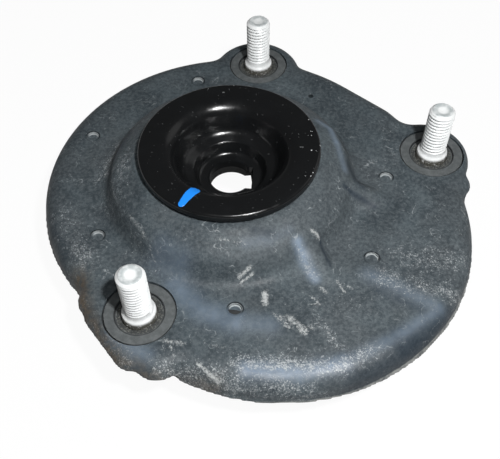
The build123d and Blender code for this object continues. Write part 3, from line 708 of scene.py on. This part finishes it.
class MountSettings(bpy.types.PropertyGroup):
    """Sizes and finishes of the dressed mount."""

    cover_face_size: bpy.props.FloatProperty(
        name="Cover face size", description="Edge length of the cover's faces", default=0.84 * MM, unit="LENGTH"
    )
    thread_pitch: bpy.props.FloatProperty(
        name="Thread pitch", description="Pitch of the stud threads", default=1.5 * MM, unit="LENGTH"
    )
    thread_radius: bpy.props.FloatProperty(
        name="Thread radius", description="Outer radius of the stud threads", default=4.95 * MM, unit="LENGTH"
    )
    thread_depth: bpy.props.FloatProperty(
        name="Thread depth", description="Depth of the thread's groove", default=0.5 * MM, unit="LENGTH"
    )
    rubber_colour: bpy.props.FloatVectorProperty(
        name="Rubber colour", description="Darker tone of the moulded rubber", default=linear("#384045"),
        **COLOUR,
    )
    # Painted sheen: the colour that lightens the polished bands in place of their highlights
    sheen_colour: bpy.props.FloatVectorProperty(
        name="Polished rubber colour", description="Smooth bands in the rubber", default=linear("#8092a6"),
        **COLOUR,
    )
    dust_colour: bpy.props.FloatVectorProperty(
        name="Dust colour", description="Chalky dust on the rubber", default=linear("#b4b8b9"),
        **COLOUR,
    )
    zinc_colour: bpy.props.FloatVectorProperty(
        name="Zinc colour", description="Bright parts of the plated studs", default=linear("#f0f2f2"),
        **COLOUR,
    )
    cup_colour: bpy.props.FloatVectorProperty(
        name="Cup colour", description="Electrocoat on the pressed cup", default=linear("#121314"),
        **COLOUR,
    )
    paint_mark_colour: bpy.props.FloatVectorProperty(
        name="Paint mark colour", description="Dab of paint on the cup", default=linear("#1e8af0"),
        **COLOUR,
    )
    lamp_power: bpy.props.FloatProperty(
        name="Lamp power", description="Power of the main lamp", default=1.3, min=0.0, unit="POWER"
    )


class MOUNT_OT_cover(bpy.types.Operator):
    """Builds the moulded rubber cover over the plate."""

    bl_idname = "mount.cover"
    bl_label = "Rubber cover"

    def execute(self, context):
        settings = context.scene.mount_settings
        # The solid's openings are plugged before it is remeshed, and cut again afterwards with crisp edges
        plugs = discs(DIMPLE_CENTRES, DIMPLE_RADIUS + PLUG_MARGIN, DIMPLE_FLOOR - 0.1, RUBBER_TOP)
        plugs += discs((SMALL_DIMPLE,), SMALL_DIMPLE_RADIUS + PLUG_MARGIN, DIMPLE_FLOOR - 0.1, RUBBER_TOP)
        plugs += discs(STUDS.values(), PAD_OPENING + 0.9, -0.5, RUBBER_TOP - 0.05)
        piece = remeshed_copy("rubber_cover", settings.cover_face_size, 9, plugs)
        shape_cover(piece)
        cutters = discs(DIMPLE_CENTRES, DIMPLE_RADIUS, DIMPLE_FLOOR, 3.0)
        cutters += discs((SMALL_DIMPLE,), SMALL_DIMPLE_RADIUS, DIMPLE_FLOOR, 3.0)
        cut_openings(piece, cutters + discs(STUDS.values(), PAD_OPENING, -6.0, 6.0))
        show_only(piece)
        bpy.ops.object.shade_smooth_by_angle(angle=radians(45))
        mark_cover(piece)
        settle(piece, "cover_moulding", moulded_rubber(settings), "plate")
        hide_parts("rubber_cover")
        return {"FINISHED"}


def draw_profile(points):
    """An open line of vertices in the XZ plane, extruded point by point and left in edit mode."""
    bpy.ops.mesh.primitive_plane_add(size=MM, location=(points[0][0], 0, points[0][1]))
    line = bpy.context.active_object
    bpy.ops.object.transform_apply(location=True, rotation=False, scale=False)
    bpy.ops.object.mode_set(mode="EDIT")
    bpy.ops.mesh.select_all(action="SELECT")
    bpy.ops.mesh.merge(type="CENTER")
    for (r0, z0), (r1, z1) in zip(points, points[1:]):
        bpy.ops.mesh.extrude_region_move(TRANSFORM_OT_translate={"value": (r1 - r0, 0, z1 - z0)})
    return line


def lathe(points, steps):
    """A solid turned from a profile that starts and ends on its axis."""
    show_nothing()
    line = draw_profile(points)
    bpy.ops.mesh.select_all(action="SELECT")
    bpy.ops.mesh.spin(steps=steps, angle=2 * pi, center=(0, 0, 0), axis=(0, 0, 1))
    bpy.ops.mesh.select_all(action="SELECT")
    bpy.ops.mesh.remove_doubles(threshold=0.002 * MM)
    bpy.ops.mesh.normals_make_consistent(inside=False)
    bpy.ops.object.mode_set(mode="OBJECT")
    return line


def rounded(corners):
    """A section's corners as points in metres, with each bend drawn as an arc."""
    points = [Vector(corners[0][:2])]
    for before, corner, after in zip(corners, corners[1:], corners[2:]):
        place, bend = Vector(corner[:2]), corner[2]
        back, ahead = (Vector(before[:2]) - place).normalized(), (Vector(after[:2]) - place).normalized()
        half = back.angle(ahead) / 2
        centre = place + (back + ahead).normalized() * bend / sin(half)
        start, end = place + back * bend / tan(half) - centre, place + ahead * bend / tan(half) - centre
        sweep = pi - 2 * half
        for step in range(BEND_STEPS + 1):
            t = step / BEND_STEPS
            points.append(centre + (start * sin((1 - t) * sweep) + end * sin(t * sweep)) / sin(sweep))
    points.append(Vector(corners[-1][:2]))
    return [(point.x * MM, point.y * MM) for point in points]


class MOUNT_OT_cup(bpy.types.Operator):
    """Turns the pressed cup with its soft bends and cuts the rod's hole, round with one squared side."""

    bl_idname = "mount.cup"
    bl_label = "Pressed cup"

    def execute(self, context):
        settings = context.scene.mount_settings
        cup = lathe(rounded(CUP_SECTION), 128)
        cut_openings(cup, discs(((0, 0),), ROD_HOLE_RADIUS, -4.0, 8.0))
        # A block from the axis out to the flat squares that side of the hole
        show_nothing()
        bpy.ops.mesh.primitive_cube_add(size=MM, location=(ROD_FLAT_DISTANCE / 2 * MM, 0, 2 * MM))
        block = bpy.context.active_object
        bpy.ops.transform.resize(value=(ROD_FLAT_DISTANCE, ROD_FLAT_WIDTH, 12.0))
        bpy.ops.transform.rotate(value=radians(ROD_FLAT_TURN), orient_axis="Z", center_override=(0, 0, 0))
        bpy.ops.object.transform_apply(location=True, rotation=True, scale=True)
        cut_openings(cup, [block])
        settle(cup, "cup_pressing", gloss_black(settings), "core")
        bpy.ops.object.shade_smooth_by_angle(angle=radians(40))
        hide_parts("top_cup")
        return {"FINISHED"}


def stud_section(foot, thread):
    """Half of a stud's section in metres: head, shank, collar, thread blank and domed tip."""
    head = ((0, foot), (6.9, foot), (7.45, foot + 0.6), (7.45, foot + 2.95), (6.15, foot + 2.95))
    shank = ((6.15, 0.9), (6.05, 1.1), (6.0, 1.3), (5.97, 1.75), (5.8, 2.05))
    collar = ((5.45, 2.35), (5.15, 2.8), (5.0, COLLAR_TOP))
    blank = ((thread, COLLAR_TOP + 0.6), (thread, STUD_TOP - 1.25), (3.95, STUD_TOP - 0.22), (3.7, STUD_TOP - 0.04))
    tip = ((3.4, STUD_TOP), (2.9, STUD_TOP - 0.08), (1.6, STUD_TOP - 0.33), (0, STUD_TOP - 0.4))
    return [(r * MM, z * MM) for r, z in head + shank + collar + blank + tip]


def cut_thread(stud, settings):
    """Cuts a right-hand thread into a turned stud with a groove wound round it."""
    pitch, outer = settings.thread_pitch, settings.thread_radius
    root, over = outer - settings.thread_depth, outer + 0.1 * MM
    half_open, half_floor = 0.47 * pitch, 0.05 * pitch
    start = (COLLAR_TOP + 0.7) * MM
    show_nothing()
    groove = draw_profile(
        ((over, start - half_open), (root, start - half_floor), (root, start + half_floor), (over, start + half_open))
    )
    bpy.ops.mesh.select_all(action="SELECT")
    bpy.ops.mesh.edge_face_add()
    bpy.ops.object.mode_set(mode="OBJECT")
    winding = groove.modifiers.new("winding", "SCREW")
    winding.axis = "Z"
    winding.angle = 2 * pi
    winding.screw_offset = pitch
    winding.iterations = THREAD_TURNS
    winding.steps = 64
    winding.render_steps = 64
    winding.use_merge_vertices = False
    winding.use_normal_calculate = True
    apply_all(groove)
    bpy.ops.object.mode_set(mode="EDIT")
    bpy.ops.mesh.select_all(action="SELECT")
    bpy.ops.mesh.remove_doubles(threshold=0.001 * MM)
    bpy.ops.mesh.fill_holes(sides=0)
    bpy.ops.mesh.select_all(action="SELECT")
    bpy.ops.mesh.normals_make_consistent(inside=False)
    bpy.ops.object.mode_set(mode="OBJECT")
    cut = stud.modifiers.new("thread", "BOOLEAN")
    cut.operation = "DIFFERENCE"
    cut.solver = "EXACT"
    cut.object = groove
    apply_all(stud)
    bpy.data.objects.remove(groove)


def splined_shank():
    """The stud's press-in shank: a drum with pointed splines round it and a chamfered top."""
    corners = 3 * SPLINES
    show_nothing()
    bpy.ops.mesh.primitive_cylinder_add(
        vertices=corners, radius=SPLINE_ROOT * MM, depth=2.4 * MM, location=(0, 0, -0.85 * MM), end_fill_type="NGON"
    )
    shank = bpy.context.active_object
    bpy.ops.object.transform_apply(location=True, rotation=False, scale=False)
    for vertex in shank.data.vertices:
        index = round(atan2(vertex.co.y, vertex.co.x) / (2 * pi / corners))
        reach = SPLINE_CREST if index % 3 == 0 else SPLINE_ROOT
        if vertex.co.z > 0:
            reach -= SPLINE_CHAMFER
        angle = index * 2 * pi / corners
        vertex.co.x, vertex.co.y = reach * MM * cos(angle), reach * MM * sin(angle)
    return shank


class MOUNT_OT_studs(bpy.types.Operator):
    """Turns one threaded stud and copies it to the three places."""

    bl_idname = "mount.studs"
    bl_label = "Threaded studs"

    def execute(self, context):
        settings = context.scene.mount_settings
        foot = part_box("stud_rear")[0].z / MM
        stud = lathe(stud_section(foot, settings.thread_radius / MM), 64)
        cut_thread(stud, settings)
        show_only(stud, splined_shank())
        bpy.ops.object.join()
        material = zinc_plated(settings)
        for name, (x, y) in STUDS.items():
            piece = stud.copy()
            piece.data = stud.data.copy()
            context.scene.collection.objects.link(piece)
            piece.location = (x * MM, y * MM, 0)
            # Pressed in at any angle, so each stud's thread starts elsewhere
            piece.rotation_euler = (0, 0, radians(x))
            settle(piece, name.replace("stud", "threaded_stud"), material, "plate")
            bpy.ops.object.shade_smooth_by_angle(angle=radians(28))
            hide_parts(name)
        bpy.data.objects.remove(stud)
        return {"FINISHED"}


class MOUNT_OT_spring_pad(bpy.types.Operator):
    """Builds the soft pad that the spring's top coil sits in."""

    bl_idname = "mount.spring_pad"
    bl_label = "Spring pad"

    def execute(self, context):
        piece = remeshed_copy("spring_pad", 0.9 * MM, 3)
        material = dull_black("spring pad rubber", "#1a1b1c", "#2a2c2d", 0.62)
        settle(piece, "spring_pad_moulding", material, "spring_side")
        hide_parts("spring_pad")
        return {"FINISHED"}


class MOUNT_OT_finishes(bpy.types.Operator):
    """Gives every carried-over solid its own finish."""

    bl_idname = "mount.finishes"
    bl_label = "Finishes"

    def execute(self, context):
        steel = phosphated_steel()
        ground = ground_steel()
        nylon = moulded_nylon("black housing nylon", "#17181a", "#222426")
        seal = dull_black("seal rubber", "#141516", "#202223", 0.55)
        finishes = {
            "mounting_plate": coated_plate(),
            "core_shell": dull_black("black phosphated shell", "#0b0c0c", "#151617", 0.75),
            "isolator": dull_black("bush rubber", "#17191a", "#2a2d2e", 0.6),
            "bush_outer_ring": steel,
            "bush_retainer": steel,
            "bearing_upper_housing": nylon,
            "bearing_lower_housing": nylon,
            "upper_race": ground,
            "lower_race": ground,
            "ball_set": ground,
            "ball_cage": moulded_nylon("cage nylon", "#cfc7ab", "#ddd6bd"),
            "inner_seal": seal,
            "outer_seal": seal,
            "spring_seat": steel,
        }
        for name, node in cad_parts.items():
            if name in finishes:
                node.data.materials[0] = finishes[name]
            elif not node.hide_render:
                raise RuntimeError(f"{name} has no finish")
        return {"FINISHED"}


def lay_floor():
    """A pale floor that the camera sees as white and the mount's underside sees as grey."""
    show_nothing()
    bpy.ops.mesh.primitive_plane_add(size=6.0, location=(0, 0, CAD_BOX[0][2] - FLOOR_GAP))
    floor = bpy.context.active_object
    floor.name = "studio_floor"
    f = Finish("pale studio floor", Roughness=0.9)
    rays = f.add("LightPath").outputs
    mirrored = f.add("Math", rays["Is Glossy Ray"], 0.4)
    seen = f.add("Math", rays["Is Camera Ray"], mirrored, operation="MAXIMUM")
    seen = f.add("Math", seen, rays["Is Transmission Ray"], operation="MAXIMUM")
    f.drive("Base Color", f.add("Mix", rays["Is Camera Ray"], "#a4a4a4", "#ffffff"))
    glowing = f.add("MixShader", f.add("Math", seen, 0.95), f.shader, f.add("Emission", "#ffffff"))
    feed(f.tree, glowing, f.out.inputs["Surface"])
    floor.data.materials.append(f.material)


def light_surroundings(scene):
    """A white backdrop with a dim fill that glossy faces mirror as brighter near the horizon."""
    scene.world = bpy.data.worlds.new("soft studio")
    scene.world.use_nodes = True
    tree = scene.world.node_tree
    tree.nodes.clear()
    direction = add_node(tree, "SeparateXYZ", add_node(tree, "TexCoord").outputs["Generated"])
    rise = add_node(tree, "MapRange", direction.outputs["Z"], 0.02, 0.22, 0.16, 0.06)
    rays = add_node(tree, "LightPath").outputs
    direct = add_node(tree, "Math", rays["Is Camera Ray"], rays["Is Transmission Ray"], operation="MAXIMUM")
    fill = add_node(tree, "Background", "#ffffff", 0.07)
    mirrored = add_node(tree, "Background", "#ffffff", rise)
    backdrop = add_node(tree, "Background", "#ffffff")
    lit = add_node(tree, "MixShader", rays["Is Glossy Ray"], fill, mirrored)
    add_node(tree, "OutputWorld", add_node(tree, "MixShader", direct, lit, backdrop))


def hang_lamp(name, place, aim, size, power, shine=1.0):
    """A round lamp at a place in metres, turned to its aim."""
    light = bpy.data.lights.new(name, "AREA")
    light.shape = "DISK"
    light.size = size
    light.energy = power
    light.specular_factor = shine
    lamp = bpy.data.objects.new(name, light)
    bpy.context.scene.collection.objects.link(lamp)
    lamp.location = place
    lamp.rotation_euler = (Vector(aim) - Vector(place)).to_track_quat("-Z", "Y").to_euler()


def set_camera(scene):
    """Puts the camera where the photograph was taken from."""
    lens = bpy.data.cameras.new("photo_camera")
    camera = bpy.data.objects.new("photo_camera", lens)
    scene.collection.objects.link(camera)
    width, height = PHOTO_SIZE
    lens.sensor_width = SENSOR_WIDTH
    lens.lens = FOCAL_LENGTH / width * SENSOR_WIDTH
    lens.shift_x = (width / 2 - IMAGE_CENTRE[0]) / width
    lens.shift_y = (IMAGE_CENTRE[1] - height / 2) / width
    lens.clip_start = 0.01
    ahead = Vector((0, cos(CAMERA_DOWN), -sin(CAMERA_DOWN)))
    above = Vector((0, sin(CAMERA_DOWN), cos(CAMERA_DOWN)))
    across = Vector((1, 0, 0))
    right = across * cos(CAMERA_ROLL) + above * sin(CAMERA_ROLL)
    up = above * cos(CAMERA_ROLL) - across * sin(CAMERA_ROLL)
    turn = Matrix((right, up, -ahead)).transposed().to_4x4()
    turn.translation = CAMERA_PLACE
    camera.matrix_world = turn
    scene.camera = camera


class MOUNT_OT_stage(bpy.types.Operator):
    """Sets the floor, lamps, surroundings and camera."""

    bl_idname = "mount.stage"
    bl_label = "Stage"

    def execute(self, context):
        power = context.scene.mount_settings.lamp_power
        lay_floor()
        light_surroundings(context.scene)
        hang_lamp("key_lamp", (0.080, -0.178, 0.300), (0.01, 0.0, 0.0), 0.026, power)
        hang_lamp("front_lamp", (0.020, -0.200, 0.290), (0.0, 0.0, 0.0), 0.024, power * 0.13)
        hang_lamp("side_fill", (0.6, 0.3, 0.5), (0, 0, 0), 0.5, 0.3, shine=0.0)
        set_camera(context.scene)
        context.scene.view_settings.view_transform = "Standard"
        return {"FINISHED"}


class MOUNT_PT_panel(bpy.types.Panel):
    """Lists the mount's pieces in the order in which they are built, and then its settings."""

    bl_idname = "MOUNT_PT_panel"
    bl_label = "Strut top mount"
    bl_space_type = "VIEW_3D"
    bl_region_type = "UI"
    bl_category = "Mount"

    def draw(self, context):
        for operator in OPERATORS:
            self.layout.operator(operator.bl_idname)
        settings = context.scene.mount_settings
        for name in MountSettings.__annotations__:
            self.layout.prop(settings, name)


OPERATORS = (MOUNT_OT_stage, MOUNT_OT_cover, MOUNT_OT_cup, MOUNT_OT_studs, MOUNT_OT_spring_pad, MOUNT_OT_finishes)
CLASSES = (MountSettings,) + OPERATORS + (MOUNT_PT_panel,)


def register():
    """Makes the operators, the panel and the settings known."""
    for made in CLASSES:
        bpy.utils.register_class(made)
    bpy.types.Scene.mount_settings = bpy.props.PointerProperty(type=MountSettings)


def unregister():
    """Takes back what register made known."""
    del bpy.types.Scene.mount_settings
    for made in reversed(CLASSES):
        bpy.utils.unregister_class(made)


def main():
    """Builds every piece in order."""
    register()
    bpy.ops.mount.stage()
    bpy.ops.mount.cover()
    bpy.ops.mount.cup()
    bpy.ops.mount.studs()
    bpy.ops.mount.spring_pad()
    bpy.ops.mount.finishes()


if __name__ == "__main__":
    main()
